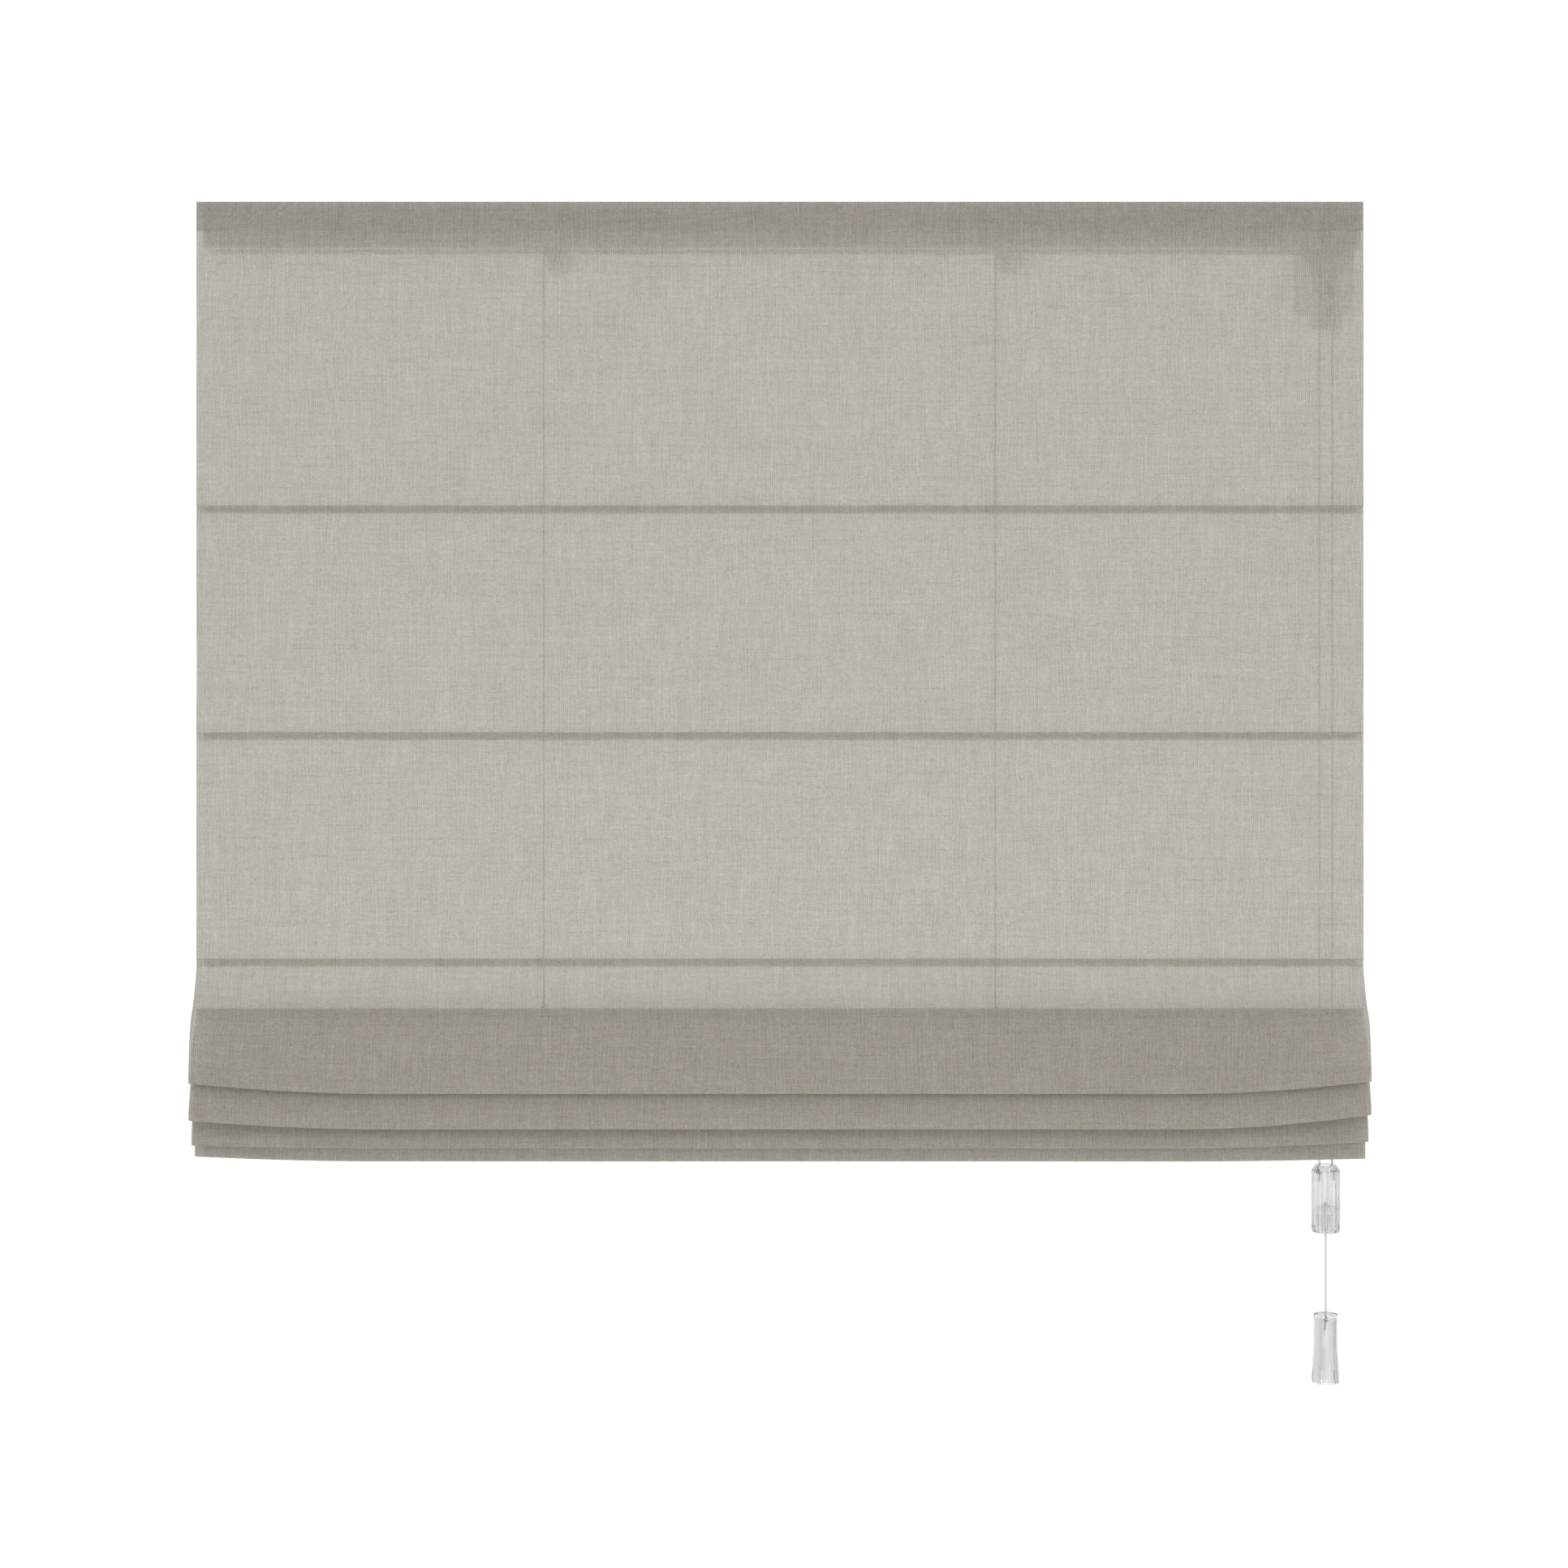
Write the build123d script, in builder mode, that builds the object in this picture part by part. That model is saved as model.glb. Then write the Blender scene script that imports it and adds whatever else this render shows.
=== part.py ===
"""Roman blind with a cord lock: headrail, ribbed cloth, lift cords, condenser and tassel.

Millimetres. +Z is up, the room is towards -Y, the wall is the plane Y = 0.
The origin lies on the wall, midway between the two bracket screw holes.
"""

import math
import os

from build123d import *

# ---- driving dimensions -----------------------------------------------------
blind_width = 800.0          # cut width of the hanging cloth
cloth_t = 0.6                # thickness of the cloth
cloth_top = 17.2             # top edge of the cloth above the screw holes
turn_over = 20.0             # cloth turned to the back at the top edge
rod_1_drop = 211.0           # top edge to the first rod
rod_pitch = 155.3            # cloth between two rods
shown_flat_rods = 3          # rods that hang apart; the rest are gathered up
gathered_rods = 3
gather_gap = 34.0            # last hanging rod to the first gathered one
gather_pitch = 10.5          # gathered rods, one above the other
panel_below = 80.9           # last rod to the bottom edge
fold_hangs = (32.4, 56.4, 70.4)        # last rod to the bottom of each fold
fold_fronts = (25.0, 24.4, 15.5)       # how far the bottom of each fold stands out
fold_gap = 3.2               # front leaf to back leaf at the bottom of a fold
leaf_step = 1.4              # one leaf to the next where two leave a pocket
first_lean = 9.0             # how far the first front leaf stands out
first_rise = 6.0             # above the first gathered rod
front_lean = 2.5             # how far the other front leaves stand out where they pass a rod
back_leans = (4.6, 4.4, 2.3)           # the same for the back leaves
front_fans = (20.0, 10.6, 4.4)         # how far each leaf stands out below that rod
back_fans = (13.0, 6.6, 4.5)
fan_height = 14.0            # from the passed rod down to there
foot_height = 9.0            # the upright stretch above the bottom of a fold
hem_front = 5.7              # how far the bottom edge stands out
hem_lean = 0.6               # the bottom panel just below the last rod

rail_depth = 25.0
rail_height = 29.0
rail_wall = 1.4
rail_back_gap = 5.0          # wall to the back of the rail
rail_web_drop = 8.0          # top of the rail to its web
rail_left_inset = 4.0        # cloth edge to the end cap
rail_right_inset = 1.5
top_slot = 12.0
bottom_slot = 14.0
cap_t = 1.5
cap_plug = 8.0
tape_t = 1.0
tape_height = 18.0
tape_drop = 1.0              # top of the rail to the tapes
rail_corner_r = 0.8
cap_corner_r = 1.0
cap_wall = 1.2

bracket_width = 24.0
bracket_t = 1.6
bracket_inset = 70.0         # cloth edge to the middle of the bracket
bracket_drop = 29.0          # height of its back plate
bracket_short = 3.0          # front of the rail to the front of the bracket
bracket_corner_r = 3.0
screw_hole_r = 2.5
latch_pin_r = 3.0
latch_head_r = 4.5
latch_head_t = 0.8
latch_long = 19.0
latch_wide = 10.0
latch_t = 1.6
latch_slot_long = 6.5        # for a screwdriver
latch_slot_wide = 1.0
latch_slot_deep = 0.5

rod_r = 1.8
pocket_wall = 0.6
cord_r = 0.7
lift_cord_left_x = -163.0
lift_cord_right_x = 148.6
lift_cord_y = -20.0
roller_groove_r = 4.3
roller_flange_r = 5.5
roller_width = 4.2
axle_r = 1.25
flange_t = 0.5
guide_width = 16.5
guide_drop = 15.0            # below the rail
guide_wall = 1.8
guide_offset = 2.4           # cord to the near side of its guide
guide_corner = 4.0           # bevelled lower corners
guide_near_corner = 2.0
foot_t = 1.6                 # foot of a guide or of the lock, inside the rail
ring_bore_r = 1.6
ring_rim = 1.3
ring_height = 3.0

lock_left = 356.0
lock_right = 395.8
lock_depth = 11.4
lock_wall = 1.2
lock_drop = 43.5             # below the rail
nose_drop = 10.0
nose_half = 9.9
pull_x = 377.5
pull_y = -16.6
pull_half_x = 4.9            # half the distance between the two pull cords
pull_half_y = 2.3
pulley_groove_r = 3.9
pulley_flange_r = 4.9
jam_roller_r = 4.0
jam_travel = 5.0
jam_drop = 27.0              # below the rail
jam_grooves = 20
jam_groove_r = 0.35
throat_play = 0.4            # beside the pull cords
lock_corner = 4.0
lock_shoulder = 14.0         # upright part of the bevel towards the nose
lock_bevel = 2.0
mouth = 3.0                  # flare at the bottom of the nose

condenser_r = 9.8
condenser_length = 46.3
condenser_wall = 1.6
condenser_cap = 3.0
condenser_shoulder = 2.5     # bevel at the top, and its height
condenser_shoulder_z = 4.0
condenser_foot = 1.0
condenser_inner_bevel = 1.5
flute_in = 0.45              # share of its radius by which a flute stays outside
flute_margin_low = 4.0
flute_margin_high = 5.0
condenser_gap = 5.0          # bottom edge of the cloth to its top
flute_count = 18
flute_r = 0.75
plug_height = 17.0
plug_step = 2.0
plug_wall = 1.4
plug_floor = 4.0
plug_bevel = 1.2
plug_foot = 0.4
tassel_cord_length = 57.0
tassel_cord_r = 0.6
tassel_length = 47.2
tassel_top_r = 8.15
tassel_bottom_r = 9.6
tassel_wall = 1.2
tassel_cap = 2.0
tassel_straight = 0.45       # share of the length above the flare
tassel_foot = 3.0
tassel_foot_in = 0.6
slit_count = 6
slit_width = 1.2
slit_height = 10.0

bar_height = 20.0
bar_t = 3.0
bar_end_gap = 6.0
bar_edge_r = 1.2
rod_end_gap = 5.0
rod_edge_r = 0.5
saddle_t = 1.2
saddle_play = 0.05
anchor_up = 18.0             # bottom edge of the cloth to a cord anchor
anchor_height = 9.0
anchor_width = 7.0
anchor_reach = 2.6           # behind the cord
anchor_corner_r = 1.2
knot_r = 2.1
hem_height = 32.0
hem_bend = 8.0               # above the hem, where the bottom panel turns upright
bar_lift = 9.5               # bottom edge of the cloth to the bar

clear = 0.3                  # between a moving piece and its neighbour
run_fit = 0.05               # radial play of a wheel on its axle
wheel_gap = 1.0              # round the flange of a wheel
slip = 0.2                   # play of a piece pushed into another by hand
cord_play = 0.1              # round a cord in its anchor, and above a knot
hole_play = 0.3              # round a cord in the condenser and the tassel

# ---- places worked out from them ---------------------------------------------
half_width = blind_width / 2
rail_back = -rail_back_gap
rail_front = rail_back - rail_depth
rail_mid_y = (rail_back + rail_front) / 2
bracket_top = cloth_top - 0.4
rail_top = bracket_top - bracket_t - slip
rail_bottom = rail_top - rail_height
rail_x0 = -half_width + rail_left_inset + cap_t
rail_x1 = half_width - rail_right_inset - cap_t
web_top = rail_top - rail_web_drop
loop_back = rail_front - tape_t
cloth_back = loop_back - tape_t - cloth_t
cloth_mid = cloth_back - cloth_t / 2
pocket_bore_r = rod_r + slip
pocket_r = pocket_bore_r + pocket_wall
pocket_y = cloth_back + pocket_bore_r
rod_1_z = cloth_top - rod_1_drop
hung_z = [rod_1_z - rod_pitch * i for i in range(shown_flat_rods)]
gathered_z = [hung_z[-1] - gather_gap - gather_pitch * i for i in range(gathered_rods)]
rod_z = hung_z + gathered_z
bottom_z = rod_z[-1] - panel_below
roller_z = rail_bottom
cord_bend_r = roller_groove_r + cord_r
run_z = roller_z + cord_bend_r
lift_cords = {"left": lift_cord_left_x, "right": lift_cord_right_x}
lock_bottom = rail_bottom - lock_drop
nose_bottom = lock_bottom - nose_drop
pull_bend_r = pulley_groove_r + cord_r
pulley_z = run_z - pull_bend_r
condenser_top = bottom_z - condenser_gap
condenser_bottom = condenser_top - condenser_length
tassel_top = condenser_bottom - tassel_cord_length

os.makedirs("parts", exist_ok=True)


def save(piece, name):
    """Names a finished piece and writes it."""
    piece.part.label = name
    export_step(piece.part, f"parts/{name}.step")


# ---- headrail ----------------------------------------------------------------
with BuildPart() as headrail:
    with BuildSketch(Plane.YZ.offset(rail_x0)):
        with Locations((rail_mid_y, (rail_top + rail_bottom) / 2)):
            Rectangle(rail_depth, rail_height)
        inner = rail_depth - 2 * rail_wall
        upper_height = rail_web_drop - rail_wall
        with Locations((rail_mid_y, web_top + upper_height / 2)):
            Rectangle(inner, upper_height, mode=Mode.SUBTRACT)
        lower_top = web_top - rail_wall
        lower_height = lower_top - rail_bottom - rail_wall
        with Locations((rail_mid_y, lower_top - lower_height / 2)):
            Rectangle(inner, lower_height, mode=Mode.SUBTRACT)
        with Locations((rail_mid_y, rail_top)):
            Rectangle(top_slot, 3 * rail_wall, mode=Mode.SUBTRACT)
        with Locations((rail_mid_y, rail_bottom)):
            Rectangle(bottom_slot, 3 * rail_wall, mode=Mode.SUBTRACT)
    extrude(amount=rail_x1 - rail_x0)
    fillet(headrail.edges().filter_by(Axis.X).group_by(Axis.Y)[0].group_by(Axis.Z)[-1], rail_corner_r)
save(headrail, "headrail")

tape_z = rail_top - tape_drop - tape_height / 2
with BuildPart() as hook_tape:
    with Locations(((rail_x0 + rail_x1) / 2, rail_front - tape_t / 2, tape_z)):
        Box(rail_x1 - rail_x0, tape_t, tape_height)
save(hook_tape, "hook_tape")

with BuildPart() as loop_tape:
    with Locations(((rail_x0 + rail_x1) / 2, loop_back - tape_t / 2, tape_z)):
        Box(rail_x1 - rail_x0, tape_t, tape_height)
save(loop_tape, "loop_tape")

plug_depth = inner - 2 * slip
plug_rise = upper_height - 2 * slip
for side, end_x, out in (("left", rail_x0, -1), ("right", rail_x1, 1)):
    with BuildPart() as end_cap:
        with BuildSketch(Plane.YZ.offset(end_x)):
            with Locations((rail_mid_y, (rail_top + rail_bottom) / 2)):
                RectangleRounded(rail_depth, rail_height, cap_corner_r)
        extrude(amount=out * cap_t)
        with BuildSketch(Plane.YZ.offset(end_x)):
            with Locations((rail_mid_y, web_top + upper_height / 2)):
                Rectangle(plug_depth, plug_rise)
                Rectangle(plug_depth - 2 * cap_wall, plug_rise - 2 * cap_wall, mode=Mode.SUBTRACT)
        extrude(amount=-out * cap_plug)
    save(end_cap, f"end_cap_{side}")

# ---- wall brackets and their turn buttons --------------------------------------
latch_plate_top = rail_top - rail_wall - clear
for side, bracket_x in (("left", -half_width + bracket_inset), ("right", half_width - bracket_inset)):
    with BuildPart() as wall_bracket:
        with BuildSketch(Plane.YZ.offset(bracket_x - bracket_width / 2)):
            with BuildLine():
                Polyline(
                    (0, bracket_top),
                    (rail_front + bracket_short, bracket_top),
                    (rail_front + bracket_short, bracket_top - bracket_t),
                    (-bracket_t, bracket_top - bracket_t),
                    (-bracket_t, bracket_top - bracket_drop),
                    (0, bracket_top - bracket_drop),
                    close=True,
                )
            make_face()
        extrude(amount=bracket_width)
        with Locations(Plane(origin=(bracket_x, -bracket_t, 0), z_dir=(0, -1, 0))):
            Hole(screw_hole_r, bracket_t)
        with Locations((bracket_x, rail_mid_y, bracket_top)):
            CounterBoreHole(latch_pin_r + run_fit, latch_head_r + run_fit, latch_head_t, bracket_t)
        fillet(wall_bracket.edges().filter_by(Axis.Y).group_by(Axis.Z)[0], bracket_corner_r)
    save(wall_bracket, f"wall_bracket_{side}")

    with BuildPart() as bracket_latch:
        with BuildSketch(Plane.XY.offset(bracket_top - latch_head_t + run_fit)):
            with Locations((bracket_x, rail_mid_y)):
                Circle(latch_head_r)
        extrude(amount=latch_head_t - run_fit)
        with BuildSketch(Plane.XY.offset(latch_plate_top - latch_t)):
            with Locations((bracket_x, rail_mid_y)):
                Circle(latch_pin_r)
        extrude(amount=bracket_top - latch_plate_top + latch_t - latch_head_t / 2)
        with BuildSketch(Plane.XY.offset(latch_plate_top - latch_t)):
            with Locations((bracket_x, rail_mid_y)):
                SlotOverall(latch_long, latch_wide, rotation=90)
        extrude(amount=latch_t)
        with BuildSketch(Plane.XY.offset(bracket_top)):
            with Locations((bracket_x, rail_mid_y)):
                Rectangle(latch_slot_long, latch_slot_wide)
        extrude(amount=-latch_slot_deep, mode=Mode.SUBTRACT)
    save(bracket_latch, f"bracket_latch_{side}")

# ---- cord guides --------------------------------------------------------------
guide_half = roller_width / 2 + clear + guide_wall
foot_z = rail_bottom + rail_wall


def wheel_section(groove_r, flange_r, width):
    """Half section of a grooved wheel about its axis, drawn in the XY plane."""
    half = width / 2
    Polyline(
        (axle_r + run_fit, -half),
        (flange_r, -half),
        (flange_r, -half + flange_t),
        (groove_r, -cord_r),
        (groove_r, cord_r),
        (flange_r, half - flange_t),
        (flange_r, half),
        (axle_r + run_fit, half),
        close=True,
    )


for side, cord_x in lift_cords.items():
    roller_x = cord_x + cord_bend_r
    guide_x0 = cord_x + guide_offset
    guide_x1 = guide_x0 + guide_width
    bridge_x0 = roller_x + roller_flange_r + wheel_gap
    with BuildPart() as cord_guide:
        with BuildSketch(Plane.XZ.offset(-lift_cord_y - guide_half)):
            with BuildLine():
                Polyline(
                    (guide_x0, foot_z),
                    (guide_x1, foot_z),
                    (guide_x1, rail_bottom - guide_drop + guide_corner),
                    (guide_x1 - guide_corner, rail_bottom - guide_drop),
                    (guide_x0 + guide_near_corner, rail_bottom - guide_drop),
                    (guide_x0, rail_bottom - guide_drop + guide_near_corner),
                    close=True,
                )
            make_face()
        extrude(amount=2 * guide_half)
        with BuildSketch(Plane.XY.offset(foot_z)):
            with Locations(((guide_x0 + guide_x1) / 2, rail_mid_y)):
                Rectangle(guide_width, inner - 2 * clear)
        extrude(amount=foot_t)
        with BuildSketch(Plane.XY.offset(foot_z + foot_t)):
            with Locations(((guide_x0 + bridge_x0) / 2, lift_cord_y)):
                Rectangle(bridge_x0 - guide_x0, roller_width + 2 * clear)
        extrude(amount=-2 * guide_drop, mode=Mode.SUBTRACT)
        with Locations(Plane(origin=(roller_x, lift_cord_y, roller_z), z_dir=(0, -1, 0))):
            Cylinder(axle_r, 2 * guide_half, mode=Mode.SUBTRACT)
    save(cord_guide, f"cord_guide_{side}")

    with BuildPart() as guide_roller:
        with BuildSketch(Plane(origin=(roller_x, lift_cord_y, roller_z))):
            with BuildLine():
                wheel_section(roller_groove_r, roller_flange_r, roller_width)
            make_face()
        revolve(axis=Axis((roller_x, lift_cord_y, roller_z), (0, 1, 0)))
    save(guide_roller, f"guide_roller_{side}")

with BuildPart() as guide_axles:
    for cord_x in lift_cords.values():
        with Locations(Plane(origin=(cord_x + cord_bend_r, lift_cord_y, roller_z), z_dir=(0, -1, 0))):
            Cylinder(axle_r, 2 * guide_half)
save(guide_axles, "guide_axles")

# ---- cord lock ------------------------------------------------------------------
chamber_depth = lock_depth - 2 * lock_wall
# the left lift cord runs behind the right one and comes down furthest to the right
pull_cords = {
    "left": (pull_x + pull_half_x, pull_y + pull_half_y),
    "right": (pull_x - pull_half_x, pull_y - pull_half_y),
}
pulley_width = chamber_depth / 2 - clear
pulley_middle = {side: (x - pull_bend_r, y) for side, (x, y) in pull_cords.items()}
jam_z = rail_bottom - jam_drop
throat_half = pull_half_x + cord_r + throat_play
throat_top = jam_z + jam_roller_r + 2 * wheel_gap
mouth_half = pull_half_x + 1.5
pulley_floor = pulley_z - pulley_flange_r - 1.5 * wheel_gap
chamber_left = pulley_middle["right"][0] - pulley_flange_r - 1.5 * wheel_gap
cord_gate = 2.0              # above and below the lift cords
lock_foot_length = lock_right - lock_left - 6.0
lock_foot_x = (lock_left + lock_right) / 2 - 1.5

with BuildPart() as cord_lock_housing:
    with BuildSketch(Plane.XZ.offset(-(pull_y + lock_depth / 2))):
        with BuildLine():
            Polyline(
                (lock_left, foot_z + foot_t),
                (lock_right, foot_z + foot_t),
                (lock_right, lock_bottom + lock_shoulder),
                (pull_x + nose_half + 3 * lock_bevel, lock_bottom + lock_bevel),
                (pull_x + nose_half, lock_bottom),
                (pull_x + nose_half, nose_bottom + lock_bevel),
                (pull_x + nose_half - lock_bevel, nose_bottom),
                (pull_x - nose_half + lock_bevel, nose_bottom),
                (pull_x - nose_half, nose_bottom + lock_bevel),
                (pull_x - nose_half, lock_bottom),
                (lock_left + lock_corner, lock_bottom),
                (lock_left, lock_bottom + lock_corner),
                close=True,
            )
        make_face()
    extrude(amount=lock_depth)
    with BuildSketch(Plane.XY.offset(foot_z)):
        with Locations((lock_foot_x, rail_mid_y)):
            Rectangle(lock_foot_length, inner - 2 * clear)
    extrude(amount=foot_t)
    # the chamber that holds the pulleys, open at the top and at the cords' side
    with BuildSketch(Plane.XZ.offset(-(pull_y + chamber_depth / 2))):
        with BuildLine():
            Polyline(
                (lock_left - 1, run_z + cord_gate),
                (lock_right - lock_bevel, run_z + cord_gate),
                (lock_right - lock_bevel, pulley_floor),
                (pull_x + throat_half, throat_top),
                (pull_x + throat_half, nose_bottom + mouth),
                (pull_x + mouth_half, nose_bottom - 1),
                (pull_x - mouth_half, nose_bottom - 1),
                (pull_x - throat_half, nose_bottom + mouth),
                (pull_x - throat_half, throat_top),
                (chamber_left, pulley_floor),
                (lock_left - 1, run_z - cord_gate),
                close=True,
            )
        make_face()
    extrude(amount=chamber_depth, mode=Mode.SUBTRACT)
    # the upright slot in which the jam roller's ends travel
    with BuildSketch(Plane.XZ.offset(-(pull_y + lock_depth / 2 + 1))):
        with Locations((pull_x, jam_z - jam_travel / 2)):
            SlotOverall(jam_travel + 2 * (axle_r + clear), 2 * (axle_r + clear), rotation=90)
    extrude(amount=lock_depth + 2, mode=Mode.SUBTRACT)
    for middle_x, _ in pulley_middle.values():
        with Locations(Plane(origin=(middle_x, pull_y, pulley_z), z_dir=(0, -1, 0))):
            Cylinder(axle_r, lock_depth + 2, mode=Mode.SUBTRACT)
save(cord_lock_housing, "cord_lock_housing")

for side, (middle_x, middle_y) in pulley_middle.items():
    with BuildPart() as lock_pulley:
        with BuildSketch(Plane(origin=(middle_x, middle_y, pulley_z))):
            with BuildLine():
                wheel_section(pulley_groove_r, pulley_flange_r, pulley_width)
            make_face()
        revolve(axis=Axis((middle_x, middle_y, pulley_z), (0, 1, 0)))
    save(lock_pulley, f"lock_pulley_{side}")

with BuildPart() as lock_axles:
    for middle_x, _ in pulley_middle.values():
        with Locations(Plane(origin=(middle_x, pull_y, pulley_z), z_dir=(0, -1, 0))):
            Cylinder(axle_r, lock_depth)
save(lock_axles, "lock_axles")

with BuildPart() as lock_roller:
    with BuildSketch(Plane.XZ.offset(-(pull_y + chamber_depth / 2 - clear))):
        with Locations((pull_x, jam_z)):
            Circle(jam_roller_r)
            with PolarLocations(jam_roller_r, jam_grooves):
                Circle(jam_groove_r, mode=Mode.SUBTRACT)
    extrude(amount=chamber_depth - 2 * clear)
    with Locations(Plane(origin=(pull_x, pull_y, jam_z), z_dir=(0, -1, 0))):
        Cylinder(axle_r, lock_depth)
save(lock_roller, "lock_roller")

# ---- cloth ----------------------------------------------------------------------
leaf_y = cloth_mid
hem_fold_r = (bar_t + 2 * slip + cloth_t) / 2
hem_y = leaf_y - hem_front
hem_back = hem_y + 2 * hem_fold_r


def pocket(z):
    """The sewn tube that holds a rod, behind the cloth."""
    with Locations((pocket_y, z)):
        Circle(pocket_r)


def pocket_bore(z):
    with Locations((pocket_y, z)):
        Circle(pocket_bore_r, mode=Mode.SUBTRACT)


with BuildPart() as fabric_upper:
    upper_end = hung_z[-1] - pocket_r
    with BuildSketch(Plane.YZ.offset(-half_width)):
        with Locations((cloth_mid, (cloth_top + upper_end) / 2)):
            Rectangle(cloth_t, cloth_top - upper_end)
        with Locations((cloth_back + cloth_t / 2, cloth_top - turn_over / 2)):
            Rectangle(cloth_t, turn_over)
        for z in hung_z:
            pocket(z)
            pocket_bore(z)
    extrude(amount=blind_width)
save(fabric_upper, "fabric_upper")


def strip(points):
    """Cloth in section along straight stretches, rounded where two of them meet."""
    for (y0, z0), (y1, z1) in zip(points, points[1:]):
        with Locations(((y0 + y1) / 2, (z0 + z1) / 2)):
            turn = math.degrees(math.atan2(z1 - z0, y1 - y0))
            SlotCenterToCenter(math.hypot(y1 - y0, z1 - z0), cloth_t, rotation=turn)


def turn_up(y, z, radius):
    """The half ring of cloth at the bottom of a fold, drawn before the leaves that meet it."""
    with Locations((y, z)):
        Circle(radius + cloth_t / 2)
        Circle(radius - cloth_t / 2, mode=Mode.SUBTRACT)
    with Locations((y, z + radius + cloth_t)):
        Rectangle(2 * (radius + cloth_t), 2 * (radius + cloth_t), mode=Mode.SUBTRACT)


def leaf_points(start, lean, rod_level, fan, foot_y, low):
    """A leaf that hangs from a rod, passes in front of the next one and fans out below."""
    return [
        start,
        (leaf_y - lean, rod_level),
        (leaf_y - fan, rod_level - fan_height),
        (foot_y, low + foot_height),
        (foot_y, low + (cloth_t + fold_gap) / 2),
    ]


top_front_y = pocket_y + leaf_step / 2      # the leaf behind, where two leave a pocket
top_back_y = pocket_y - leaf_step / 2
next_levels = gathered_z[1:] + [gathered_z[-1] - gather_pitch]

for i, rod_level in enumerate(gathered_z):
    low = gathered_z[-1] - fold_hangs[i]
    front_y = leaf_y - fold_fronts[i]
    back_y = front_y + fold_gap
    if i == 0:
        start = (leaf_y, hung_z[-1] - pocket_r - clear)
        front = leaf_points(start, first_lean, rod_level + first_rise, front_fans[i], front_y, low)
    else:
        start = (top_front_y, gathered_z[i - 1] - pocket_r - clear)
        front = leaf_points(start, front_lean, rod_level, front_fans[i], front_y, low)
    end = (top_back_y, rod_level - pocket_r + cloth_t)
    back = leaf_points(end, back_leans[i], next_levels[i], back_fans[i], back_y, low)
    with BuildPart() as fabric_fold:
        with BuildSketch(Plane.YZ.offset(-half_width)):
            turn_up((front_y + back_y) / 2, front[-1][1], fold_gap / 2)
            strip(front)
            strip(back)
            pocket(rod_level)
            pocket_bore(rod_level)
        extrude(amount=blind_width)
    save(fabric_fold, f"fabric_fold_{i + 1}")

with BuildPart() as fabric_hem:
    with BuildSketch(Plane.YZ.offset(-half_width)):
        hem_turn_z = bottom_z + cloth_t / 2 + hem_fold_r
        turn_up(hem_y + hem_fold_r, hem_turn_z, hem_fold_r)
        strip([
            (top_front_y, gathered_z[-1] - pocket_r - clear),
            (leaf_y - hem_lean, next_levels[-1]),
            (hem_y, bottom_z + hem_height + hem_bend),
            (hem_y, hem_turn_z),
        ])
        strip([(hem_back, hem_turn_z), (hem_back, bottom_z + hem_height)])
    extrude(amount=blind_width)
save(fabric_hem, "fabric_hem")

# ---- rods, rings and the bottom bar ------------------------------------------------
ring_out_r = ring_bore_r + ring_rim
saddle_in = pocket_r + saddle_play
saddle_out = saddle_in + saddle_t
rod_length = blind_width - 2 * rod_end_gap

for number, z in enumerate(rod_z, 1):
    with BuildPart() as rod:
        with Locations(Plane(origin=(0, pocket_y, z), z_dir=(1, 0, 0))):
            Cylinder(rod_r, rod_length)
        fillet(rod.edges(), rod_edge_r)
    save(rod, f"rod_{number}")

    with BuildPart() as cord_rings:
        for cord_x in lift_cords.values():
            with BuildSketch(Plane.XY.offset(z - ring_height / 2)):
                with Locations((cord_x, lift_cord_y)):
                    Circle(ring_out_r)
                with Locations((cord_x, (pocket_y + lift_cord_y) / 2)):
                    Rectangle(ring_height, lift_cord_y - pocket_y)
            extrude(amount=ring_height)
            with BuildSketch(Plane.YZ.offset(cord_x - ring_height / 2)):
                with Locations((pocket_y, z)):
                    Circle(saddle_out)
            extrude(amount=ring_height)
            with BuildSketch(Plane.YZ.offset(cord_x - ring_height)):
                with Locations((pocket_y, z)):
                    Circle(saddle_in)
                with Locations((pocket_y - saddle_out + saddle_t, z)):
                    Rectangle(2 * saddle_out, 3 * saddle_out)
            extrude(amount=2 * ring_height, mode=Mode.SUBTRACT)
            with Locations((cord_x, lift_cord_y, z)):
                Cylinder(ring_bore_r, 2 * ring_height, mode=Mode.SUBTRACT)
    save(cord_rings, f"cord_rings_{number}")

with BuildPart() as bottom_bar:
    with Locations((0, hem_back - hem_fold_r, bottom_z + bar_lift + bar_height / 2)):
        Box(blind_width - 2 * bar_end_gap, bar_t, bar_height)
    fillet(bottom_bar.edges().filter_by(Axis.X), bar_edge_r)
save(bottom_bar, "bottom_bar")

anchor_z = bottom_z + anchor_up
with BuildPart() as cord_anchors:
    for cord_x in lift_cords.values():
        anchor_y0 = hem_back + cloth_t / 2
        anchor_y1 = lift_cord_y + anchor_reach
        with Locations((cord_x, (anchor_y0 + anchor_y1) / 2, anchor_z)):
            Box(anchor_width, anchor_y1 - anchor_y0, anchor_height)
        with Locations((cord_x, lift_cord_y, anchor_z)):
            Cylinder(cord_r + cord_play, 2 * anchor_height, mode=Mode.SUBTRACT)
    fillet(cord_anchors.edges().filter_by(Axis.Z).group_by(Axis.Y)[-1], anchor_corner_r)
save(cord_anchors, "cord_anchors")

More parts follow.
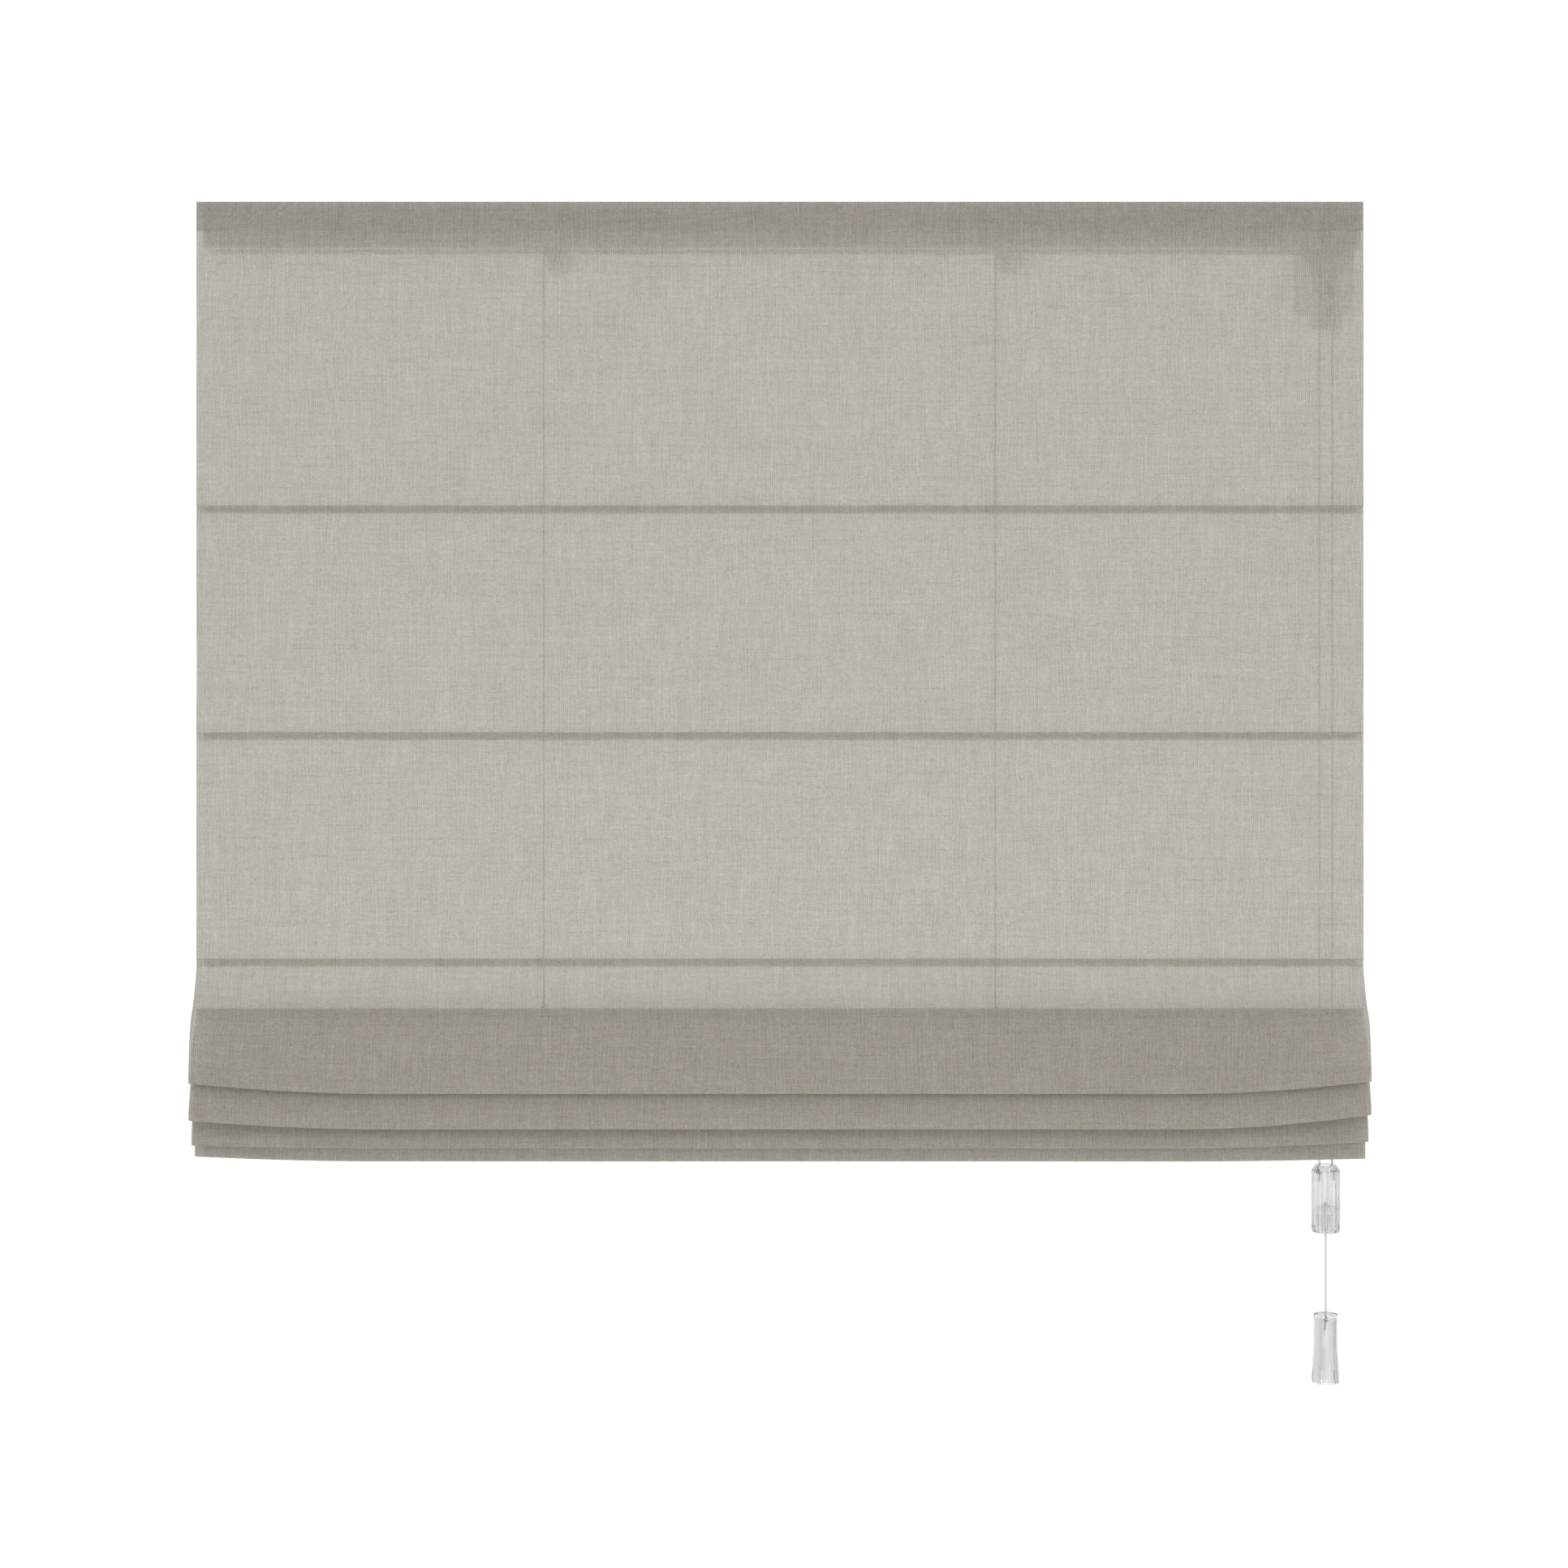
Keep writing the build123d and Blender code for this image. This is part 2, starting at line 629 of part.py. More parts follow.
# ---- cords --------------------------------------------------------------------------
for side, cord_x in lift_cords.items():
    roller_x = cord_x + cord_bend_r
    drop_bottom = anchor_z - anchor_height / 2 - knot_r
    with BuildPart() as lift_cord_drop:
        with BuildSketch(Plane.XY.offset(roller_z)) as drop_section:
            with Locations((cord_x, lift_cord_y)):
                Circle(cord_r)
        extrude(amount=drop_bottom - roller_z)
        revolve(
            drop_section.sketch,
            axis=Axis((roller_x, lift_cord_y, roller_z), (0, 1, 0)),
            revolution_arc=90,
        )
        with Locations((cord_x, lift_cord_y, drop_bottom)):
            Sphere(knot_r)
    save(lift_cord_drop, f"lift_cord_drop_{side}")

    pulley_x, pulley_y = pulley_middle[side]
    run_start = Vector(roller_x, lift_cord_y, run_z)
    run_end = Vector(pulley_x, pulley_y, run_z)
    with BuildPart() as lift_cord_run:
        with BuildSketch(Plane(origin=run_start, z_dir=run_end - run_start)):
            Circle(cord_r)
        extrude(amount=(run_end - run_start).length)
    save(lift_cord_run, f"lift_cord_run_{side}")

knot_z = condenser_top - condenser_cap - knot_r - cord_play
for side, (x, y) in pull_cords.items():
    with BuildPart() as pull_cord:
        with BuildSketch(Plane.XY.offset(pulley_z)) as pull_section:
            with Locations((x, y)):
                Circle(cord_r)
        extrude(amount=knot_z - pulley_z)
        revolve(
            pull_section.sketch,
            axis=Axis((x - pull_bend_r, y, pulley_z), (0, -1, 0)),
            revolution_arc=90,
        )
        with Locations((x, y, knot_z)):
            Sphere(knot_r)
    save(pull_cord, f"pull_cord_{side}")

# ---- condenser and tassel --------------------------------------------------------------
condenser_bore = condenser_r - condenser_wall
condenser_ceiling = condenser_top - condenser_cap
with BuildPart() as condenser_body:
    with BuildSketch(Plane.XZ.offset(-pull_y)):
        with BuildLine():
            Polyline(
                (pull_x, condenser_top),
                (pull_x + condenser_r - condenser_shoulder, condenser_top),
                (pull_x + condenser_r, condenser_top - condenser_shoulder_z),
                (pull_x + condenser_r, condenser_bottom + 2 * condenser_foot),
                (pull_x + condenser_r - condenser_foot, condenser_bottom),
                (pull_x + condenser_bore, condenser_bottom),
                (pull_x + condenser_bore, condenser_ceiling - condenser_inner_bevel),
                (pull_x + condenser_bore - condenser_inner_bevel, condenser_ceiling),
                (pull_x, condenser_ceiling),
                close=True,
            )
        make_face()
    revolve(axis=Axis((pull_x, pull_y, 0), (0, 0, 1)))
    with BuildSketch(Plane.XY.offset(condenser_bottom + flute_margin_low)):
        with Locations((pull_x, pull_y)):
            with PolarLocations(condenser_r + flute_r * flute_in, flute_count):
                Circle(flute_r)
    extrude(amount=condenser_length - flute_margin_low - flute_margin_high, mode=Mode.SUBTRACT)
    for x, y in pull_cords.values():
        with Locations((x, y, condenser_top)):
            Cylinder(cord_r + hole_play, 4 * condenser_cap, mode=Mode.SUBTRACT)
save(condenser_body, "condenser_body")

plug_r = condenser_bore - run_fit
plug_hole = pull_x + tassel_cord_r + hole_play
plug_top = condenser_bottom + plug_height
plug_inner = pull_x + plug_r - plug_wall
with BuildPart() as condenser_plug:
    with BuildSketch(Plane.XZ.offset(-pull_y)):
        with BuildLine():
            Polyline(
                (plug_hole, plug_top),
                (pull_x + plug_r - plug_bevel, plug_top),
                (pull_x + plug_r, plug_top - plug_step),
                (pull_x + plug_r, condenser_bottom + plug_foot),
                (plug_inner, condenser_bottom),
                (plug_inner, plug_top - plug_floor),
                (plug_hole, plug_top - plug_floor),
                close=True,
            )
        make_face()
    revolve(axis=Axis((pull_x, pull_y, 0), (0, 0, 1)))
save(condenser_plug, "condenser_plug")

tassel_knot_z = tassel_top - tassel_cap - knot_r
plug_knot_z = plug_top + knot_r
with BuildPart() as tassel_cord:
    with Locations((pull_x, pull_y, (plug_knot_z + tassel_knot_z) / 2)):
        Cylinder(tassel_cord_r, plug_knot_z - tassel_knot_z)
    for z in (plug_knot_z, tassel_knot_z):
        with Locations((pull_x, pull_y, z)):
            Sphere(knot_r)
save(tassel_cord, "tassel_cord")

tassel_bottom = tassel_top - tassel_length
flare_z = tassel_top - tassel_length * tassel_straight
with BuildPart() as tassel:
    with BuildSketch(Plane.XZ.offset(-pull_y)):
        with BuildLine():
            Polyline(
                (plug_hole, tassel_top),
                (pull_x + tassel_top_r, tassel_top),
                (pull_x + tassel_top_r, flare_z),
                (pull_x + tassel_bottom_r, tassel_bottom + tassel_foot),
                (pull_x + tassel_bottom_r - tassel_foot_in, tassel_bottom),
                (pull_x + tassel_bottom_r - tassel_wall, tassel_bottom),
                (pull_x + tassel_bottom_r - tassel_wall, tassel_bottom + tassel_foot),
                (pull_x + tassel_top_r - tassel_wall, flare_z),
                (pull_x + tassel_top_r - tassel_wall, tassel_top - tassel_cap),
                (plug_hole, tassel_top - tassel_cap),
                close=True,
            )
        make_face()
    revolve(axis=Axis((pull_x, pull_y, 0), (0, 0, 1)))
    with BuildSketch(Plane.XY.offset(tassel_bottom - 1)):
        with Locations((pull_x, pull_y)):
            with PolarLocations(tassel_bottom_r, slit_count):
                Rectangle(4 * tassel_wall, slit_width)
    extrude(amount=slit_height + 1, mode=Mode.SUBTRACT)
save(tassel, "tassel")
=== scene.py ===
"""Roman blind, the visual model: woven cloth, cords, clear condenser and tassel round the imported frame.

Metres, in the CAD's frame: +Z up, the room towards -Y, the wall at Y = 0. Cloth sections are written in
millimetres, as (y, z), and turned into metres where a mesh is made.
"""
import math
import random

import bpy
import numpy as np
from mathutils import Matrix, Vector, noise


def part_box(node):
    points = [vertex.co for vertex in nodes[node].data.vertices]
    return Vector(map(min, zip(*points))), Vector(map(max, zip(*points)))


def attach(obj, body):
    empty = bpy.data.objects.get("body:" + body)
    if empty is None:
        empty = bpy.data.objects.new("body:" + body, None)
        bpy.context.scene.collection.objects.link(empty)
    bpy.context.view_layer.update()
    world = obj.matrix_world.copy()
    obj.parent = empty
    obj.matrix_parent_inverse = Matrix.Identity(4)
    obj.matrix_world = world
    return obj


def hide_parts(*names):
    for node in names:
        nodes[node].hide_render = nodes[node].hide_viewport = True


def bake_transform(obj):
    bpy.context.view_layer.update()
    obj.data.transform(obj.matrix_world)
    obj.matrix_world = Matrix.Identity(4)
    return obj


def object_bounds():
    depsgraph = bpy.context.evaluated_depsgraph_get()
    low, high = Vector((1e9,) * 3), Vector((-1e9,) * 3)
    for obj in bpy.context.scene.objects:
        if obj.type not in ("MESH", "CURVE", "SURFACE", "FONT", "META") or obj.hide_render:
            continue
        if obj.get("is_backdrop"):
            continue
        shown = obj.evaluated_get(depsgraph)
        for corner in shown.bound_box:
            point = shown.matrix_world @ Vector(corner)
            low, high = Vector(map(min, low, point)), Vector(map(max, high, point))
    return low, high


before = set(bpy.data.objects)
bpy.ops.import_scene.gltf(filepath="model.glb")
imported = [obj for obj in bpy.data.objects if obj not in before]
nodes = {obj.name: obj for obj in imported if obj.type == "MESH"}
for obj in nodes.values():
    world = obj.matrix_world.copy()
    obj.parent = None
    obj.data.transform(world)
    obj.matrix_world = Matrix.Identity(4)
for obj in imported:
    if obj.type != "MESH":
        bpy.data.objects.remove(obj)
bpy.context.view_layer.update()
MM = 0.001
MM_PER_METRE = 1000.0

# ---- camera -----------------------------------------------------------------
CLOTH_PLANE = -0.033
CAMERA_DISTANCE = 1.8
CAMERA_X = 0.0028
CAMERA_Z = -0.382
FRAME_WIDTH = 1.0748         # what the frame covers at the cloth
SENSOR = 36.0
camera_data = bpy.data.cameras.new("camera")
camera_data.sensor_width = SENSOR
camera_data.lens = SENSOR * CAMERA_DISTANCE / FRAME_WIDTH
camera = bpy.data.objects.new("camera", camera_data)
camera.location = (CAMERA_X, CLOTH_PLANE - CAMERA_DISTANCE, CAMERA_Z)
camera.rotation_euler = (math.radians(90), 0, 0)
bpy.context.scene.collection.objects.link(camera)
bpy.context.scene.camera = camera
bpy.context.scene.view_settings.view_transform = "Standard"


# ---- small tools --------------------------------------------------------------
def add(name, data):
    """A new object in the scene."""
    obj = bpy.data.objects.new(name, data)
    bpy.context.scene.collection.objects.link(obj)
    return obj


def smooth(mesh):
    """Smooth shading on every face."""
    for polygon in mesh.polygons:
        polygon.use_smooth = True


def step01(value):
    """A smooth step from 0 to 1."""
    value = min(1.0, max(0.0, value))
    return value * value * (3 - 2 * value)


class Net:
    """Builds a material's node tree with short calls."""

    def __init__(self, name):
        self.material = bpy.data.materials.new(name)
        self.material.use_nodes = True
        self.tree = self.material.node_tree
        self.tree.nodes.clear()

    def node(self, kind, inputs=None, **settings):
        """A node with its settings, and its inputs linked or set."""
        made = self.tree.nodes.new(kind)
        for key, value in settings.items():
            setattr(made, key, value)
        for key, value in (inputs or {}).items():
            socket = made.inputs[key]
            if hasattr(value, "is_output"):
                self.tree.links.new(value, socket)
            else:
                socket.default_value = value
        return made

    def math(self, operation, a, b=0.0, c=0.0, clamp=False):
        inputs = {0: a, 1: b}
        if operation == "MULTIPLY_ADD":
            inputs[2] = c
        return self.node("ShaderNodeMath", inputs, operation=operation, use_clamp=clamp).outputs[0]

    def ramp(self, value, low, high, out_low=0.0, out_high=1.0):
        """A smooth step of the value between low and high."""
        made = self.node("ShaderNodeMapRange", {0: value, 1: low, 2: high, 3: out_low, 4: out_high},
                         interpolation_type="SMOOTHSTEP")
        return made.outputs[0]

    def join(self, x, y, z=0.0):
        return self.node("ShaderNodeCombineXYZ", {0: x, 1: y, 2: z}).outputs[0]

    def noise(self, vector, scale=1.0, detail=1.0, roughness=0.5):
        inputs = {"Vector": vector, "Scale": scale, "Detail": detail, "Roughness": roughness}
        return self.node("ShaderNodeTexNoise", inputs, noise_dimensions="3D").outputs[0]

    def blend(self, factor, a, b, mode="MIX"):
        """Two colours mixed."""
        made = self.node("ShaderNodeMix", data_type="RGBA", blend_type=mode)
        for socket, value in ((made.inputs[0], factor), (made.inputs[6], a), (made.inputs[7], b)):
            if hasattr(value, "is_output"):
                self.tree.links.new(value, socket)
            else:
                socket.default_value = value
        return made.outputs[2]

    def bump(self, height, distance):
        """A normal from a height, with the depth in metres."""
        inputs = {"Height": height, "Distance": distance, "Strength": 1.0}
        return self.node("ShaderNodeBump", inputs).outputs[0]

    def coordinates(self, stretch=(1, 1, 1)):
        """Points on the object in millimetres, stretched along its axes."""
        source = self.node("ShaderNodeTexCoord").outputs["Object"]
        scale = [MM_PER_METRE * share for share in stretch]
        return self.node("ShaderNodeMapping", {"Vector": source, "Scale": scale}).outputs[0]

    def finish(self, shader):
        """The material, with its surface connected."""
        self.node("ShaderNodeOutputMaterial", {"Surface": shader})
        return self.material


def rgb(r, g, b):
    """An opaque colour."""
    return (r, g, b, 1.0)


# ---- the cloth's weave ----------------------------------------------------------
RIB_PITCH = 1.32             # millimetres between two upright threads
WEFT_PITCH = 0.95
OPENNESS = 0.09              # share of the weave that is open
PASSING = 0.285              # share of the light on the threads that comes through
THREAD_STEP = 3.71           # between the noise of two neighbouring upright threads
PICK_STEP = 5.13             # the same for cross threads
TINT_STEPS = (2.37, 3.59)    # both, for the colour of a crossing


def weave(name, warm, cool, behind_colour, passing, openness, contrast=1.0):
    """Open linen-look weave: upright ribs that waver like watered silk, pale slubs, brown cross slubs.

    The last number of a place in the noise is its layer, so that no two patterns follow each other.
    """
    net = Net(name)
    uv = net.node("ShaderNodeUVMap", uv_map="cloth").outputs[0]
    parts = net.node("ShaderNodeSeparateXYZ", {0: uv})
    across = net.math("MULTIPLY", parts.outputs[0], MM_PER_METRE)
    along = net.math("MULTIPLY", parts.outputs[1], MM_PER_METRE)

    def cells(width, height, layer, detail=1.0):
        """Noise whose patches are about this wide and high, in millimetres."""
        x = net.math("MULTIPLY", across, 1 / width)
        y = net.math("MULTIPLY", along, 1 / height)
        return net.noise(net.join(x, y, layer), detail=detail)

    def upright(index, length, layer):
        """A value of its own for each upright thread, which changes along it."""
        x = net.math("MULTIPLY", index, THREAD_STEP)
        y = net.math("MULTIPLY", along, 1 / length)
        return net.noise(net.join(x, y, layer), detail=2.0)

    def cross(index, length, layer):
        """A value of its own for each cross thread, which changes along it."""
        x = net.math("MULTIPLY", across, 1 / length)
        y = net.math("MULTIPLY", index, PICK_STEP)
        return net.noise(net.join(x, y, layer), detail=2.0)

    def crossings(rib, pick, steps, layer):
        """A value of its own for each crossing of two threads, from -0.5 to 0.5."""
        place = net.join(net.math("MULTIPLY", rib, steps[0]), net.math("MULTIPLY", pick, steps[1]), layer)
        return net.math("SUBTRACT", net.noise(place, detail=0.0), 0.5)

    def summed(start, patterns):
        """The patterns added to start, each with its weight."""
        for pattern, weight in patterns:
            start = net.math("MULTIPLY_ADD", pattern, weight, start)
        return start

    shift = net.math("MULTIPLY", cells(62.0, 38.0, 0.0, 1.0), 5.5)
    shift = net.math("MULTIPLY_ADD", cells(12.0, 16.0, 7.0), 0.5, shift)
    ribs_at = net.math("DIVIDE", net.math("ADD", across, shift), RIB_PITCH)
    rib = net.math("SINE", net.math("MULTIPLY", ribs_at, 2 * math.pi))
    rib_index = net.math("FLOOR", net.math("ADD", ribs_at, 0.25))
    rib_depth = net.ramp(cells(9.0, 24.0, 21.0, 2.0), 0.3, 0.65, 0.3, 1.0)
    rib_tone = net.math("MULTIPLY", rib, rib_depth)
    pair = net.math("MULTIPLY", net.math("SINE", net.math("MULTIPLY", ribs_at, math.pi)), rib_depth)
    thread = upright(rib_index, 30.0, 3.0)
    thread_tone = net.ramp(thread, 0.28, 0.72, -1.0, 1.0)
    pale_slub = net.ramp(thread, 0.60, 0.72)

    weft_shift = net.math("MULTIPLY", cells(30.0, 12.0, 11.0), 2.4)
    wefts_at = net.math("DIVIDE", net.math("ADD", along, weft_shift), WEFT_PITCH)
    weft = net.math("SINE", net.math("MULTIPLY", wefts_at, 2 * math.pi))
    weft_index = net.math("FLOOR", wefts_at)
    long_run = cross(weft_index, 26.0, 17.0)
    short_run = cross(weft_index, 6.0, 23.0)
    brown_run = net.ramp(long_run, 0.54, 0.70)
    brown_slub = net.ramp(short_run, 0.70, 0.80)
    pale_weft = net.ramp(short_run, 0.36, 0.26)
    weft_tone = net.ramp(cross(weft_index, 60.0, 29.0), 0.3, 0.7, -1.0, 1.0)
    cloud = net.math("SUBTRACT", cells(70.0, 45.0, 41.0, 3.0), 0.5)
    grain = crossings(rib_index, weft_index, (THREAD_STEP, PICK_STEP), 61.0)
    tint = crossings(rib_index, weft_index, TINT_STEPS, 83.0)
    speck = net.ramp(cells(2.4, 1.7, 53.0, 0.0), 0.84, 0.90)

    tone = summed(net.math("MULTIPLY", rib_tone, 0.13 * contrast), [
        (pair, 0.035 * contrast), (grain, 0.42 * contrast), (speck, 0.16 * contrast),
        (thread_tone, 0.045 * contrast), (weft, 0.045 * contrast), (weft_tone, 0.035 * contrast),
        (pale_slub, 0.05 * contrast), (pale_weft, 0.07 * contrast), (cloud, 0.08),
        (brown_run, -0.055 * contrast),
    ])
    shade = net.math("ADD", tone, 0.985)
    grey = net.join(shade, shade, shade)
    coolness = summed(0.5, [(rib_tone, 0.45), (tint, 2.0), (pale_slub, 0.3)])
    coolness = net.math("MULTIPLY_ADD", brown_run, -0.55, coolness, clamp=True)

    front = net.blend(1.0, net.blend(coolness, rgb(*warm), rgb(*cool)), grey, "MULTIPLY")
    brown = net.math("MULTIPLY", brown_slub, 0.34 * contrast)
    front = net.blend(brown, front, rgb(0.24, 0.17, 0.11))
    behind = net.blend(1.0, rgb(*behind_colour), grey, "MULTIPLY")
    behind = net.blend(brown, behind, rgb(0.16, 0.12, 0.08))

    height = summed(rib_tone, [(weft, 0.35), (pale_slub, 0.8), (brown_slub, 0.8)])
    normal = net.bump(height, 0.0001)
    face = net.node("ShaderNodeBsdfPrincipled", {
        "Base Color": front, "Roughness": net.ramp(thread, 0.2, 0.8, 0.78, 0.92), "Normal": normal,
        "Specular IOR Level": 0.25, "Sheen Weight": 0.12, "Sheen Roughness": 0.5,
    }).outputs[0]
    through = net.node("ShaderNodeBsdfTranslucent", {"Color": behind}).outputs[0]
    woven = net.node("ShaderNodeMixShader", {0: passing, 1: face, 2: through}).outputs[0]
    gaps = net.node("ShaderNodeBsdfTransparent").outputs[0]
    open_weave = net.node("ShaderNodeMixShader", {0: openness, 1: woven, 2: gaps}).outputs[0]
    return net.finish(open_weave)


ACRYLIC_IOR = 1.49


def moulding(name, colour, roughness, grain, depth, spread=0.03, clear=0.0):
    """Moulded or coated surface with fine grain, a little uneven in colour and gloss."""
    net = Net(name)
    points = net.coordinates()
    tone = net.noise(points, 0.05, 3.0)
    fleck = net.noise(points, grain, 2.0)
    dark = rgb(*[c * (1 - spread) for c in colour])
    light = rgb(*[min(1.0, c * (1 + spread)) for c in colour])
    base = net.blend(net.ramp(tone, 0.3, 0.7), dark, light)
    rough = net.ramp(tone, 0.3, 0.7, roughness * 0.85, roughness * 1.15)
    inputs = {"Base Color": base, "Roughness": rough, "Normal": net.bump(fleck, depth)}
    if clear:
        inputs["Transmission Weight"] = clear
        inputs["IOR"] = ACRYLIC_IOR
    return net.finish(net.node("ShaderNodeBsdfPrincipled", inputs).outputs[0])


def drawn(name, colour, roughness, stretch, metallic=0.0, depth=0.000006, spread=0.06):
    """Extruded, rolled or turned surface with fine lines along it."""
    net = Net(name)
    lines = net.noise(net.coordinates(stretch), 1.0, 4.0, 0.6)
    patch = net.noise(net.coordinates(), 0.02, 2.0)
    dark = rgb(*[c * (1 - spread) for c in colour])
    base = net.blend(net.ramp(lines, 0.3, 0.7), dark, rgb(*colour))
    base = net.blend(net.ramp(patch, 0.45, 0.75, 0.0, 0.35), base, dark)
    rough = net.ramp(lines, 0.3, 0.7, roughness * 0.8, roughness * 1.2)
    inputs = {"Base Color": base, "Roughness": rough, "Normal": net.bump(lines, depth), "Metallic": metallic}
    return net.finish(net.node("ShaderNodeBsdfPrincipled", inputs).outputs[0])


def braid(name, colour):
    """Fine braided cord: slanting strands that cross, from the cord's own length and turn, with painted shade
    darkening the grooves between the strands.
    """
    net = Net(name)
    points = net.coordinates()
    place = net.node("ShaderNodeSeparateXYZ", {0: points})
    up = place.outputs[2]
    side = net.math("MULTIPLY", net.math("ADD", place.outputs[0], place.outputs[1]), 2.2)
    one = net.math("SINE", net.math("ADD", net.math("MULTIPLY", up, 5.2), side))
    two = net.math("SINE", net.math("SUBTRACT", net.math("MULTIPLY", up, 5.2), side))
    strands = net.math("MULTIPLY", one, two)
    fuzz = net.noise(points, 4.0, 3.0)
    # the colour follows the same strands as the bump: dark where the braid sinks, painted shade in the
    # grooves between strands; the fuzz adds random tone
    tone = net.ramp(strands, -1.0, 1.0, 0.0, 0.75)
    tone = net.math("MULTIPLY_ADD", fuzz, 0.3, tone)
    dark = rgb(*[c * 0.62 for c in colour])
    base = net.blend(tone, dark, rgb(*colour))
    height = net.math("MULTIPLY_ADD", fuzz, 0.3, strands)
    inputs = {"Base Color": base, "Roughness": net.ramp(fuzz, 0.3, 0.7, 0.6, 0.85),
              "Normal": net.bump(height, 0.00006), "Sheen Weight": 0.2}
    return net.finish(net.node("ShaderNodeBsdfPrincipled", inputs).outputs[0])


def fluted(name, light, dark, middle, count):
    """Clear moulding with upright flutes round an axis: darker lines where a flute bends the light."""
    net = Net(name)
    source = net.node("ShaderNodeTexCoord").outputs["Object"]
    shift = (-middle[0], -middle[1], 0)
    place = net.node("ShaderNodeMapping", {"Vector": source, "Location": shift}).outputs[0]
    parts = net.node("ShaderNodeSeparateXYZ", {0: place})
    turn = net.math("ARCTAN2", parts.outputs[1], parts.outputs[0])
    wave = net.math("SINE", net.math("MULTIPLY", turn, float(count)))
    streak = net.noise(net.coordinates((0.6, 0.6, 0.02)), 1.0, 1.0)
    lines = net.math("MULTIPLY_ADD", net.math("SUBTRACT", streak, 0.5), 1.2, wave)
    base = net.blend(net.ramp(lines, 0.2, 1.0), rgb(*light), rgb(*dark))
    rough = net.ramp(streak, 0.3, 0.7, 0.05, 0.10)
    shader = net.node("ShaderNodeBsdfPrincipled", {
        "Base Color": base, "Roughness": rough, "Normal": net.bump(wave, 0.0001), "Transmission Weight": 0.96,
        "IOR": ACRYLIC_IOR,
    }).outputs[0]
    return net.finish(shader)


def pile(name, colour, pitch, depth):
    """Hook or loop tape: rows of small tufts, with painted shade darkening the tape between the tufts."""
    net = Net(name)
    points = net.coordinates()
    cells = net.node("ShaderNodeTexVoronoi", {"Vector": points, "Scale": 1 / pitch, "Randomness": 0.55})
    tuft = net.ramp(cells.outputs["Distance"], 0.0, 0.7, 1.0, 0.0)
    fuzz = net.noise(points, 2.5, 3.0)
    dark = rgb(*[c * 0.7 for c in colour])
    # the colour darkens away from each tuft's middle, where the bump sinks: painted shade between the tufts;
    # the fuzz adds random tone
    base = net.blend(net.math("MULTIPLY_ADD", fuzz, 0.4, net.math("MULTIPLY", tuft, 0.6)), dark, rgb(*colour))
    height = net.math("MULTIPLY_ADD", fuzz, 0.4, tuft)
    inputs = {"Base Color": base, "Roughness": net.ramp(fuzz, 0.3, 0.7, 0.75, 0.95),
              "Normal": net.bump(height, depth), "Sheen Weight": 0.15}
    return net.finish(net.node("ShaderNodeBsdfPrincipled", inputs).outputs[0])


cloth = weave("cloth", (0.370, 0.328, 0.268), (0.357, 0.347, 0.326), (0.310, 0.304, 0.270),
              PASSING, OPENNESS)
pocket_tape = weave("pocket_tape", (0.70, 0.69, 0.66), (0.72, 0.72, 0.70), (0.75, 0.75, 0.73),
                    passing=0.5, openness=0.12, contrast=0.4)
rail_coat = drawn("rail_coat", (0.78, 0.78, 0.77), 0.38, (0.02, 1.4, 1.4), depth=0.000005, spread=0.03)
white_plastic = moulding("white_plastic", (0.92, 0.92, 0.90), 0.45, grain=2.2, depth=0.00002)
milky_plastic = moulding("milky_plastic", (0.92, 0.92, 0.90), 0.45, grain=2.2, depth=0.00002, clear=0.8)
acetal = moulding("acetal", (0.82, 0.82, 0.79), 0.28, grain=5.0, depth=0.000006, spread=0.05)
turned_steel = drawn("turned_steel", (0.56, 0.56, 0.57), 0.30, (3.0, 0.2, 3.0), metallic=1.0)
bracket_coat = moulding("bracket_coat", (0.72, 0.72, 0.71), 0.42, grain=1.3, depth=0.000025, spread=0.02)
rod_glass = drawn("rod_glass", (0.72, 0.73, 0.66), 0.35, (0.03, 4.0, 4.0), depth=0.00001, spread=0.12)
bar_coat = drawn("bar_coat", (0.78, 0.78, 0.77), 0.40, (0.02, 2.0, 2.0), depth=0.000008)
ring_clear = moulding("ring_clear", (0.86, 0.88, 0.88), 0.16, grain=1.2, depth=0.00001, clear=0.85)
clear_plug = moulding("clear_plug", (0.95, 0.95, 0.95), 0.06, grain=0.6, depth=0.000012, spread=0.02,
                      clear=0.97)
cord_white = braid("cord_white", (0.74, 0.74, 0.73))
# dark grey copy of the cord for the knots inside the clear condenser and tassel: painted shade, as the knots
# are tied in the pale cords
cord_painted_shade = braid("cord_painted_shade", (0.30, 0.30, 0.30))
cord_pale = braid("cord_pale", (0.60, 0.61, 0.60))
hook_pile = pile("hook_pile", (0.78, 0.77, 0.75), 0.9, 0.0001)
loop_pile = pile("loop_pile", (0.80, 0.79, 0.77), 0.6, 0.0001)

PULL_X, PULL_Y = 0.3775, -0.0166
CONDENSER_FLUTES = 18
TASSEL_FLUTES = 5
clear = fluted("clear", (0.93, 0.94, 0.94), (0.74, 0.75, 0.75), (PULL_X, PULL_Y), CONDENSER_FLUTES)
clear_tassel = fluted("clear_tassel", (0.80, 0.81, 0.80), (0.70, 0.71, 0.70), (PULL_X, PULL_Y), TASSEL_FLUTES)

